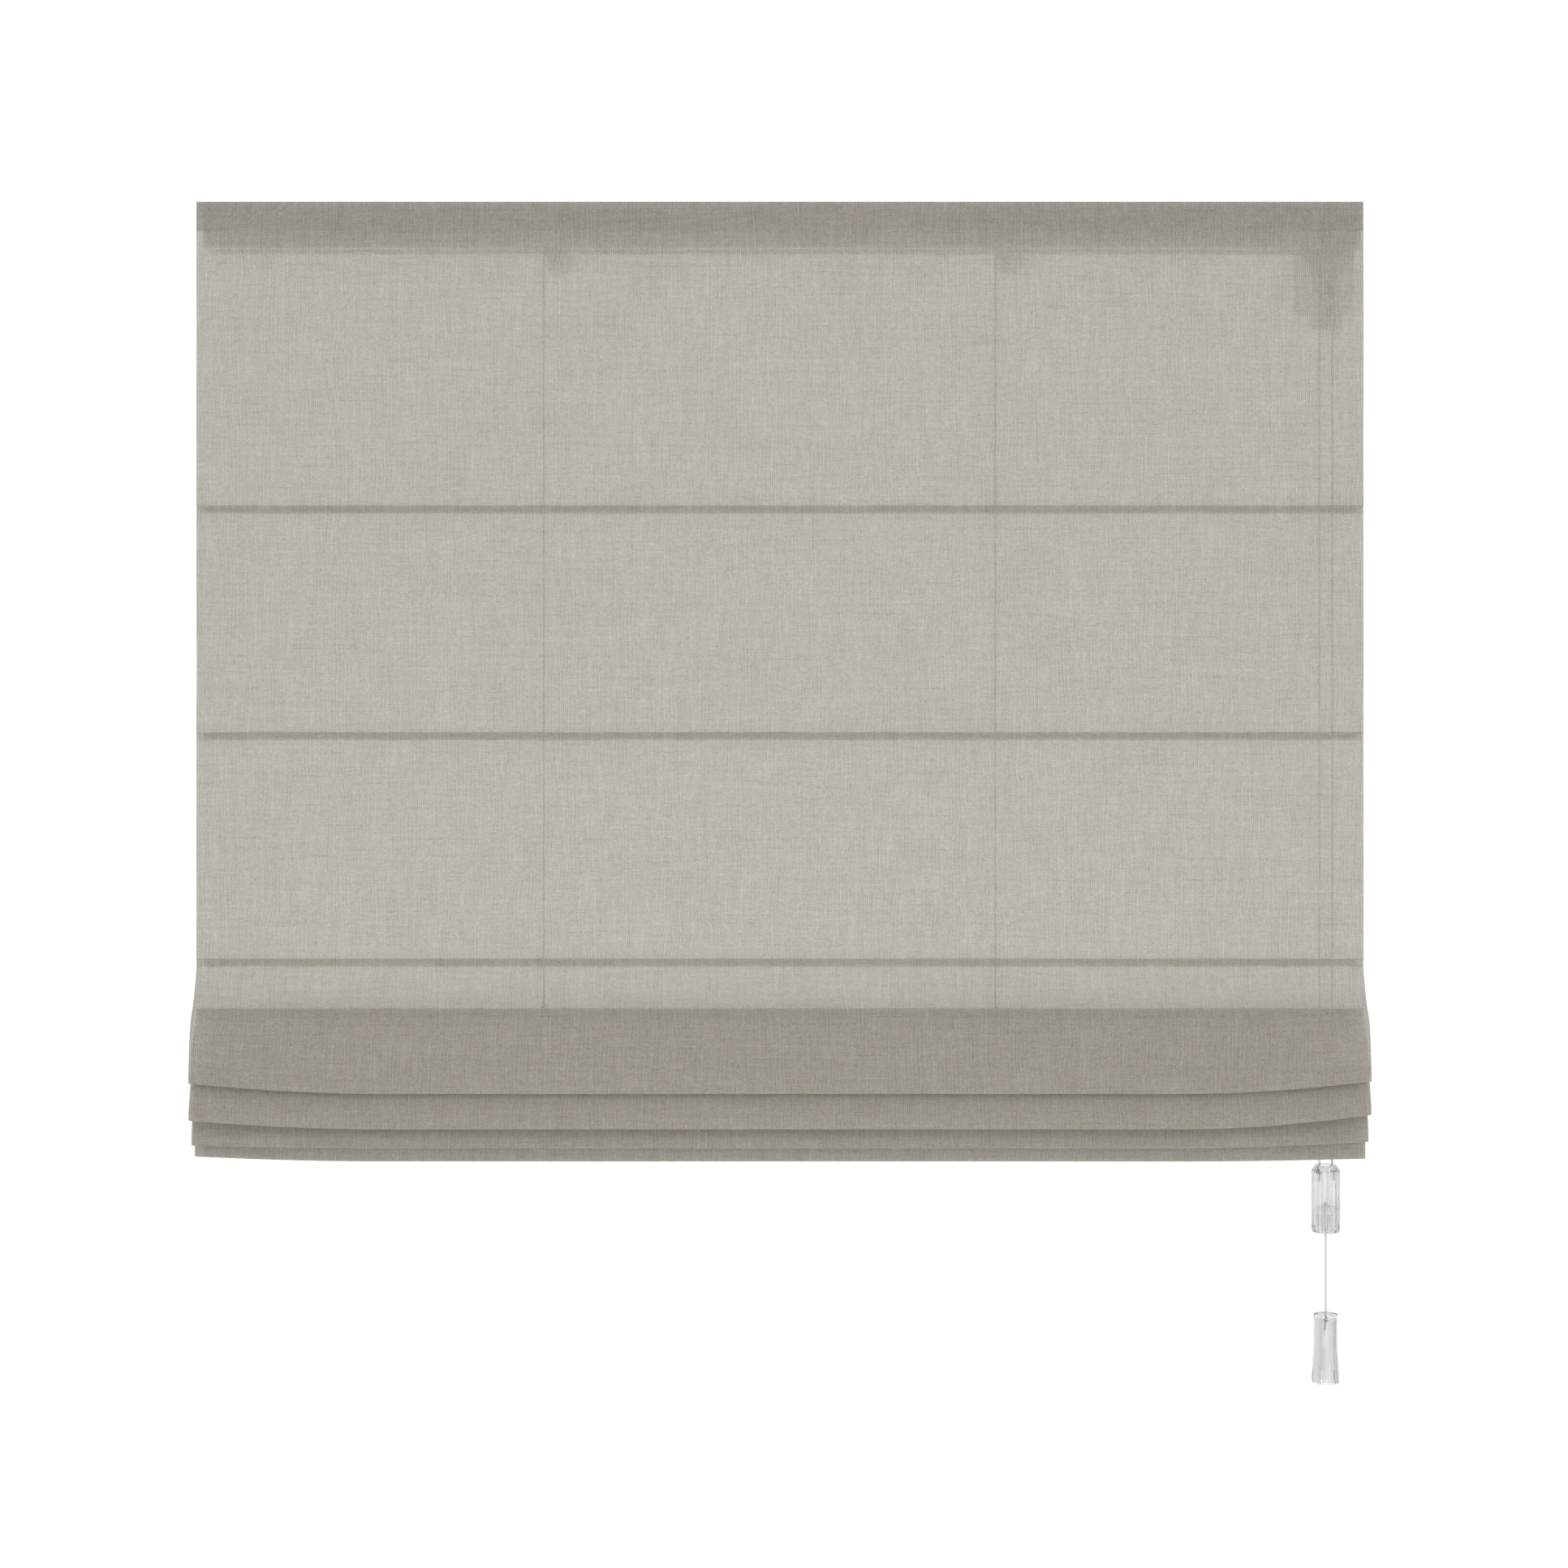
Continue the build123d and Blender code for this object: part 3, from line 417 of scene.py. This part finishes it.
finishes = {
    "headrail": rail_coat,
    "guide_axles": turned_steel, "lock_axles": turned_steel, "lock_roller": turned_steel,
    "cord_lock_housing": milky_plastic, "cord_anchors": white_plastic, "bottom_bar": bar_coat,
    "condenser_body": clear, "condenser_plug": clear_plug, "tassel": clear_tassel,
    "hook_tape": hook_pile, "loop_tape": loop_pile,
}
for side in ("left", "right"):
    finishes[f"end_cap_{side}"] = white_plastic
    finishes[f"cord_guide_{side}"] = milky_plastic
    finishes[f"guide_roller_{side}"] = acetal
    finishes[f"lock_pulley_{side}"] = acetal
    finishes[f"wall_bracket_{side}"] = bracket_coat
    finishes[f"bracket_latch_{side}"] = bracket_coat
for number in range(1, 7):
    finishes[f"rod_{number}"] = rod_glass
    finishes[f"cord_rings_{number}"] = ring_clear
for name, material in finishes.items():
    nodes[name].data.materials.clear()
    nodes[name].data.materials.append(material)


# ---- cords --------------------------------------------------------------------------
CORD_R = 0.0007
TASSEL_CORD_R = 0.0006
LIFT_Y = -0.020
LIFT_X = {"left": -0.163, "right": 0.1486}
PULL = {"left": (0.3824, -0.0143), "right": (0.3726, -0.0189)}
RUN_Z = -0.009
WHEEL_R = 0.005
PULLEY_R = 0.0046
START_LEAN = 0.006           # along the rail, from a wheel to the next point of the route
RING_DROP = 0.0030           # the lift cord's part that rides on the root ends this far below rod 3
HEM_KNOT_Z = -0.6286
HEM_KNOT_TURN = {"left": 0.4, "right": 2.1}
PULL_KNOT_TURN = {"left": 1.1, "right": 3.9}
NOSE_Z = -0.0675
ROD_Z = [-0.1938, -0.3491, -0.5044, -0.5384, -0.5489, -0.5594]
CONDENSER_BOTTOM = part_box("condenser_body")[0].z
CONDENSER_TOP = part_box("condenser_body")[1].z
TASSEL_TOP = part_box("tassel")[1].z
PLUG_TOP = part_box("condenser_plug")[1].z
KNOT_Z = CONDENSER_TOP - 0.0051
BODIES = ["root", "gathered_rod_4", "gathered_rod_5", "hem"]


def spline(name, points, radius, material, resolution=8):
    """A round cord on a NURBS spline with these control points."""
    data = bpy.data.curves.new(name, "CURVE")
    data.dimensions = "3D"
    data.resolution_u = resolution
    data.bevel_depth = radius
    data.bevel_resolution = 3
    data.use_fill_caps = True
    line = data.splines.new("NURBS")
    line.points.add(len(points) - 1)
    for point, place in zip(line.points, points):
        point.co = (*place, 1.0)
    line.order_u = 3
    line.use_endpoint_u = True
    data.materials.append(material)
    return add(name, data)


def as_mesh(curve):
    """The curve as a mesh of the same name, with the points of its own line."""
    bpy.context.view_layer.update()
    graph = bpy.context.evaluated_depsgraph_get()
    bevel = curve.data.bevel_depth
    mesh = bpy.data.meshes.new_from_object(curve.evaluated_get(graph))
    curve.data.bevel_depth = 0.0
    bpy.context.view_layer.update()
    graph = bpy.context.evaluated_depsgraph_get()
    bare = bpy.data.meshes.new_from_object(curve.evaluated_get(graph))
    path = [tuple(v.co) for v in bare.vertices]
    curve.data.bevel_depth = bevel
    name = curve.name
    bpy.data.objects.remove(curve)
    bpy.data.meshes.remove(bare)
    smooth(mesh)
    return add(name, mesh), path


KNOT_SLIM = 0.98             # a knot's cord is drawn a little thinner
# an overhand knot, in cord diameters, with its tail
KNOT = [
    (0.0, 0.0, 1.7), (0.1, 0.0, 1.1), (0.75, -0.5, 0.55), (0.2, -1.0, -0.1),
    (-0.9, -0.4, -0.35), (-0.7, 0.75, 0.1), (0.5, 0.85, 0.5), (1.0, 0.0, -0.2),
    (0.2, -0.55, -0.7), (-0.4, 0.1, -0.4), (0.1, 0.3, -1.1), (0.3, 0.2, -1.6),
]


def knot(name, centre, radius, body, turn, tail=2.5, flip=1):
    """A knot tied in a cord's end, with its short tail."""
    cosine, sine = math.cos(turn), math.sin(turn)
    points = []
    for x, y, z in KNOT + [(0.55, 0.15, -1.6 - tail)]:
        across = x * cosine - y * sine
        away = x * sine + y * cosine
        scale = 2 * radius
        points.append((centre[0] + scale * across, centre[1] + scale * away, centre[2] + flip * scale * z))
    # knots on the pull cords and the tassel cord take the dark grey copy of the cord, which is painted shade
    material = cord_painted_shade if body == "cord_pull" else cord_white
    made = spline(name, points, radius * KNOT_SLIM, material, resolution=6)
    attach(made, body)
    return made


for side, x in LIFT_X.items():
    wheel_x = x + WHEEL_R
    pull_x, pull_y = PULL[side]
    pulley_x = pull_x - PULLEY_R
    reach = pulley_x - wheel_x
    lean = (pull_y - LIFT_Y) / reach
    run = spline(f"lift_cord_{side}", [
        (x, LIFT_Y, ROD_Z[2] - RING_DROP), (x, LIFT_Y, -0.300), (x, LIFT_Y, -0.040), (x, LIFT_Y, -0.0200),
        (x, LIFT_Y, RUN_Z),
        (wheel_x + START_LEAN, LIFT_Y + lean * START_LEAN, RUN_Z),
        (wheel_x + 0.5 * reach, LIFT_Y + 0.5 * lean * reach, RUN_Z),
        (pulley_x - START_LEAN, pull_y - lean * START_LEAN, RUN_Z),
        (pull_x, pull_y, RUN_Z), (pull_x, pull_y, -0.0190), (pull_x, pull_y, -0.0350),
        (pull_x, pull_y, NOSE_Z),
    ], CORD_R, cord_white)
    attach(run, "root")
    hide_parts(f"lift_cord_run_{side}", f"lift_cord_drop_{side}")

    # the cord between two gathered rods is drawn out as the blind comes down
    levels = [ROD_Z[2] - RING_DROP] + ROD_Z[3:]
    for i in range(3):
        high, low = levels[i], levels[i + 1]
        third = (high - low) / 3
        stretch = spline(f"lift_cord_{side}_{i + 4}", [
            (x, LIFT_Y, high), (x, LIFT_Y, high - third), (x, LIFT_Y, low + third), (x, LIFT_Y, low),
        ], CORD_R, cord_white)
        stretch, _ = as_mesh(stretch)
        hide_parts(f"lift_cord_drop_{side}")
        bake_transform(stretch)
    low_end = spline(f"lift_cord_{side}_end", [
        (x, LIFT_Y, ROD_Z[5]), (x, LIFT_Y, -0.580), (x, LIFT_Y, -0.610), (x, LIFT_Y, -0.6270),
    ], CORD_R, cord_white)
    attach(low_end, "hem")
    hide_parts(f"lift_cord_drop_{side}")
    knot(f"lift_knot_{side}", (x, LIFT_Y, HEM_KNOT_Z), CORD_R, "hem", HEM_KNOT_TURN[side], tail=1.2)

for side, (x, y) in PULL.items():
    hanging = spline(f"hanging_cord_{side}", [
        (x, y, NOSE_Z), (x, y, NOSE_Z - 0.010), (x, y, -0.260), (x, y, -0.450), (x, y, -0.630),
        (x, y, KNOT_Z + 0.0018),
    ], CORD_R, cord_white, resolution=10)
    hanging, path = as_mesh(hanging)
    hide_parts(f"pull_cord_{side}")
    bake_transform(hanging)
    knot(f"pull_knot_{side}", (x, y, KNOT_Z), CORD_R, "cord_pull", PULL_KNOT_TURN[side], tail=2.6)

tassel_line = spline("tassel_line", [
    (PULL_X, PULL_Y, PLUG_TOP + 0.0015), (PULL_X, PULL_Y, CONDENSER_BOTTOM + 0.006),
    (PULL_X, PULL_Y, CONDENSER_BOTTOM - 0.020), (PULL_X, PULL_Y, TASSEL_TOP + 0.010),
    (PULL_X, PULL_Y, TASSEL_TOP - 0.0030),
], TASSEL_CORD_R, cord_pale)
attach(tassel_line, "cord_pull")
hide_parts("tassel_cord")
upper_knot = knot("tassel_cord_knot_top", (PULL_X, PULL_Y, PLUG_TOP + 0.0020), TASSEL_CORD_R,
                  "cord_pull", 0.2, tail=1.0, flip=-1)
lower_knot = knot("tassel_cord_knot_low", (PULL_X, PULL_Y, TASSEL_TOP - 0.0044), TASSEL_CORD_R,
                  "cord_pull", 2.9, tail=4.0)

# ---- cloth ------------------------------------------------------------------------------
HALF_WIDTH = 400.0
FACE = -32.9                 # the hanging cloth, in mm
TOP_EDGE = 17.2
POCKET = -30.6
RODS = [z * MM_PER_METRE for z in ROD_Z]
RAIL_LOW = -14.0
SWAY_SPAN = 55.0             # from a rod or the rail to the cloth's full sway
STACK_SPAN = 60.0            # the same below the last hanging rod
WAVE_DEPTH = 0.9
STACK_WAVE_DEPTH = 1.1
RIPPLE_DEPTH = 1.1
RIPPLE_WIDE = 130.0
RIPPLE_HIGH = 90.0
RIPPLE_LAYER = 3.1
rng = random.Random(7)
ripples = [(rng.uniform(0.006, 0.02), rng.uniform(0, 6.28), rng.uniform(0.5, 1.0)) for _ in range(5)]


def sway(x, z):
    """How far the soft cloth leaves its flat section, in mm: nothing at the rods and the rail."""
    wave = sum(size * math.sin(turn * x + phase) for turn, phase, size in ripples) / len(ripples)
    ripple = noise.noise(Vector((x / RIPPLE_WIDE, z / RIPPLE_HIGH, RIPPLE_LAYER)))
    if z > RODS[2]:
        held = min(abs(z - level) for level in [RAIL_LOW] + RODS[:3])
        held = 0.0 if z > RAIL_LOW else held
        return (WAVE_DEPTH * wave + RIPPLE_DEPTH * ripple) * step01(held / SWAY_SPAN)
    return STACK_WAVE_DEPTH * wave * step01((RODS[2] - z) / STACK_SPAN)


def rise(x, left, right, length=130.0, power=1.9):
    """The ends of a fold's lower edge hang a little higher than its middle, in mm."""
    if x < 0:
        return left * max(0.0, 1 - (x + HALF_WIDTH) / length) ** power
    return right * max(0.0, 1 - (HALF_WIDTH - x) / length) ** power


def rounded(points, passes=3):
    """The section with its corners cut, as cloth turns them."""
    for _ in range(passes):
        made = [points[0]]
        for (y0, z0), (y1, z1) in zip(points, points[1:]):
            made.append((0.75 * y0 + 0.25 * y1, 0.75 * z0 + 0.25 * z1))
            made.append((0.25 * y0 + 0.75 * y1, 0.25 * z0 + 0.75 * z1))
        made.append(points[-1])
        points = made
    return points


def filled(points, step):
    """The section with no stretch longer than step."""
    made = [points[0]]
    for (y0, z0), (y1, z1) in zip(points, points[1:]):
        span = math.hypot(y1 - y0, z1 - z0)
        if span < 1e-6:
            continue
        count = max(1, math.ceil(span / step))
        made += [(y0 + (y1 - y0) * k / count, z0 + (z1 - z0) * k / count) for k in range(1, count + 1)]
    return made


COLUMN_STEP = 5.0
COLUMN_COUNT = 161
COLUMNS = [-HALF_WIDTH + COLUMN_STEP * k for k in range(COLUMN_COUNT)]


def cloth_mesh(name, section, arc, lift, material):
    """A mesh of cloth with this section: arc is the length of cloth before it, lift its rise at a point."""
    vertices, faces, uvs = [], [], []
    for i, (y, z) in enumerate(section):
        if i:
            arc += math.hypot(y - section[i - 1][0], z - section[i - 1][1])
        for x in COLUMNS:
            vertices.append((x * MM, (y + sway(x, z)) * MM, (z + lift(x, z)) * MM))
            uvs.append((x * MM, -arc * MM))
    for i in range(len(section) - 1):
        for k in range(COLUMN_COUNT - 1):
            a = i * COLUMN_COUNT + k
            faces.append((a, a + 1, a + 1 + COLUMN_COUNT, a + COLUMN_COUNT))
    mesh = bpy.data.meshes.new(name)
    mesh.from_pydata(vertices, [], faces)
    layer = mesh.uv_layers.new(name="cloth")
    corners = np.array([uvs[loop.vertex_index] for loop in mesh.loops], np.float32)
    layer.data.foreach_set("uv", corners.ravel())
    mesh.materials.append(material)
    smooth(mesh)
    return add(name, mesh)


def arc_length(section):
    """How long the section is, in mm."""
    return sum(math.hypot(b[0] - a[0], b[1] - a[1]) for a, b in zip(section, section[1:]))


def lifted(top, bottom, left, right):
    """A rise that grows from nothing at top to its whole at bottom, and a little more below."""
    def lift(x, z):
        share = min(1.2, max(0.0, (top - z) / (top - bottom)))
        return rise(x, left, right) * share ** 1.6
    return lift


def flat(_x, _z):
    """No rise."""
    return 0.0


FOLDS = [
    {"front": [(-41.9, -532.4), (-52.9, -546.4), (-57.9, -582.8)], "foot": (-57.9, -54.7, -589.9),
     "back": [(-54.7, -582.8), (-45.9, -562.9), (-37.5, -548.9)], "rise": (7.0, 8.6)},
    {"front": [(-35.4, -548.9), (-43.5, -562.9), (-57.3, -606.8)], "foot": (-57.3, -54.1, -613.9),
     "back": [(-54.1, -606.8), (-39.5, -573.4), (-37.3, -559.4)], "rise": (5.8, 10.0)},
    {"front": [(-35.4, -559.4), (-37.3, -573.4), (-48.4, -620.8)], "foot": (-48.4, -45.2, -627.9),
     "back": [(-45.2, -620.8), (-37.4, -583.9), (-35.2, -569.9)], "rise": (1.8, 4.5)},
]
BEND_DEPTH = 1.9             # the cloth's turn below a fold's foot


def foot(fold):
    """The turn at a fold's lower edge."""
    front_y, back_y, z = fold["foot"]
    return [(front_y, z), (front_y, z - BEND_DEPTH), (back_y, z - BEND_DEPTH), (back_y, z)]


def pocket_over(level):
    """The cloth comes up, goes round the rod and starts down again."""
    turns = [(-0.7, -2.9), (-1.3, -2.5), (-2.45, -1.2), (-2.45, 1.2), (-1.2, 2.45),
             (1.2, 2.45), (2.45, 1.2), (2.45, -1.2), (1.3, -2.5), (0.7, -2.9)]
    return [(POCKET + y, level + z) for y, z in turns]


def pocket_behind(level):
    """The tape tube sewn on behind the hanging cloth."""
    turns = [(-1.95, 2.9), (-1.2, 2.5), (1.3, 2.4), (2.5, 1.2),
             (2.5, -1.2), (1.3, -2.4), (-1.2, -2.5), (-1.95, -2.9)]
    return [(POCKET + y, level + z) for y, z in turns]


STEP_FLAT = 6.0
STEP_FOLD = 2.5
top = [(-32.3, -2.8), (-32.3, 15.8), (-32.35, TOP_EDGE), (-32.85, TOP_EDGE), (FACE, 15.8)]
section = top[:]
for level in RODS[:3]:
    section += [(FACE, level + 9.0), (FACE - 0.45, level + 3.6), (FACE - 0.5, level + 2.3),
                (FACE + 0.35, level + 2.5), (FACE + 0.25, level + 1.0), (FACE, level - 5.0)]
section += FOLDS[0]["front"] + foot(FOLDS[0])
section = filled(rounded(section), STEP_FLAT)
fold_lift = [
    lifted(RODS[2] - 4, FOLDS[0]["foot"][2] - BEND_DEPTH, *FOLDS[0]["rise"]),
    lifted(RODS[3] - 3, FOLDS[1]["foot"][2] - BEND_DEPTH, *FOLDS[1]["rise"]),
    lifted(RODS[4] - 3, FOLDS[2]["foot"][2] - BEND_DEPTH, *FOLDS[2]["rise"]),
]
used = 0.0
panel = cloth_mesh("fabric_panel", section, used, fold_lift[0], cloth)
used += arc_length(section)
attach(panel, "root")
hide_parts("fabric_upper", "fabric_fold_1")
for number, level in enumerate(RODS[:3], 1):
    tube = filled(rounded(pocket_behind(level)), STEP_FOLD)
    pocket = cloth_mesh(f"rod_pocket_{number}", tube, 0.0, flat, pocket_tape)
    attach(pocket, "root")

for i, fold in enumerate(FOLDS):
    level = RODS[3 + i]
    back_section = [(fold["foot"][1], fold["foot"][2])] + fold["back"] + [(POCKET - 0.7, level - 2.9)]
    back_section = filled(rounded(back_section), STEP_FOLD)
    back = cloth_mesh(f"fabric_fold_{i + 1}_back", back_section, used, fold_lift[i], cloth)
    used += arc_length(back_section)
    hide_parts(f"fabric_fold_{i + 1}")
    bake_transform(back)

    if i < 2:
        after = FOLDS[i + 1]
        front_section = pocket_over(level) + after["front"] + foot(after)
        lift = fold_lift[i + 1]
        name, body = f"fabric_fold_{i + 2}_front", BODIES[i + 1]
    else:
        front_section = pocket_over(level) + [
            (-33.5, -569.9), (-38.6, -600.3), (-38.6, -637.2), (-38.2, -640.2),
            (-35.0, -640.2), (-34.6, -637.2), (-34.6, -608.3)]
        lift = lifted(RODS[5] - 3, -640.0, 3.3, 2.0)
        name, body = "fabric_bottom_panel", "hem"
    front_section = filled(rounded(front_section), STEP_FOLD)
    front = cloth_mesh(name, front_section, used, lift, cloth)
    used += arc_length(front_section)
    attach(front, body)
    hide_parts(f"fabric_fold_{i + 2}" if i < 2 else "fabric_hem")

# ---- floor and light ------------------------------------------------------------------------
FLOOR_Z = -1.05
floor_net = Net("floor")
floor_tone = floor_net.noise(floor_net.coordinates(), 0.01, 2.0)
FLOOR_TONES = rgb(0.985, 0.985, 0.985), rgb(0.995, 0.995, 0.995)
floor_colour = floor_net.blend(floor_net.ramp(floor_tone, 0.3, 0.7), *FLOOR_TONES)
floor_material = floor_net.finish(
    floor_net.node("ShaderNodeBsdfPrincipled", {"Base Color": floor_colour, "Roughness": 0.9}).outputs[0])
FLOOR_HALF = 30.0
floor_mesh = bpy.data.meshes.new("floor")
floor_corners = [(x * FLOOR_HALF, y * FLOOR_HALF, FLOOR_Z) for x, y in ((-1, -1), (1, -1), (1, 1), (-1, 1))]
floor_mesh.from_pydata(floor_corners, [], [(0, 1, 2, 3)])
floor_mesh.materials.append(floor_material)
floor = add("floor", floor_mesh)
floor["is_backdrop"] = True

WORLD_STRENGTH = 1.07
world = bpy.data.worlds.new("studio")
world.use_nodes = True
world.node_tree.nodes["Background"].inputs[0].default_value = (1, 1, 1, 1)
world.node_tree.nodes["Background"].inputs[1].default_value = WORLD_STRENGTH
bpy.context.scene.world = world


def softbox(name, place, aim, size, power):
    """A square area light that the camera doesn't see."""
    light = bpy.data.lights.new(name, "AREA")
    light.size = size
    light.energy = power
    lamp = add(name, light)
    lamp.location = place
    lamp.visible_camera = False
    lamp.rotation_euler = (Vector(aim) - Vector(place)).to_track_quat("-Z", "Y").to_euler()


softbox("key", (-1.4, -2.2, 1.2), (0, 0, -0.35), 1.2, 7.0)
softbox("low_fill", (0.4, -1.5, -0.62), (0, 0, -0.6), 0.5, 2.3)
softbox("reflector", (0, -0.95, -1.03), (0, -0.95, 0), 1.2, 4.5)

low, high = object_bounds()
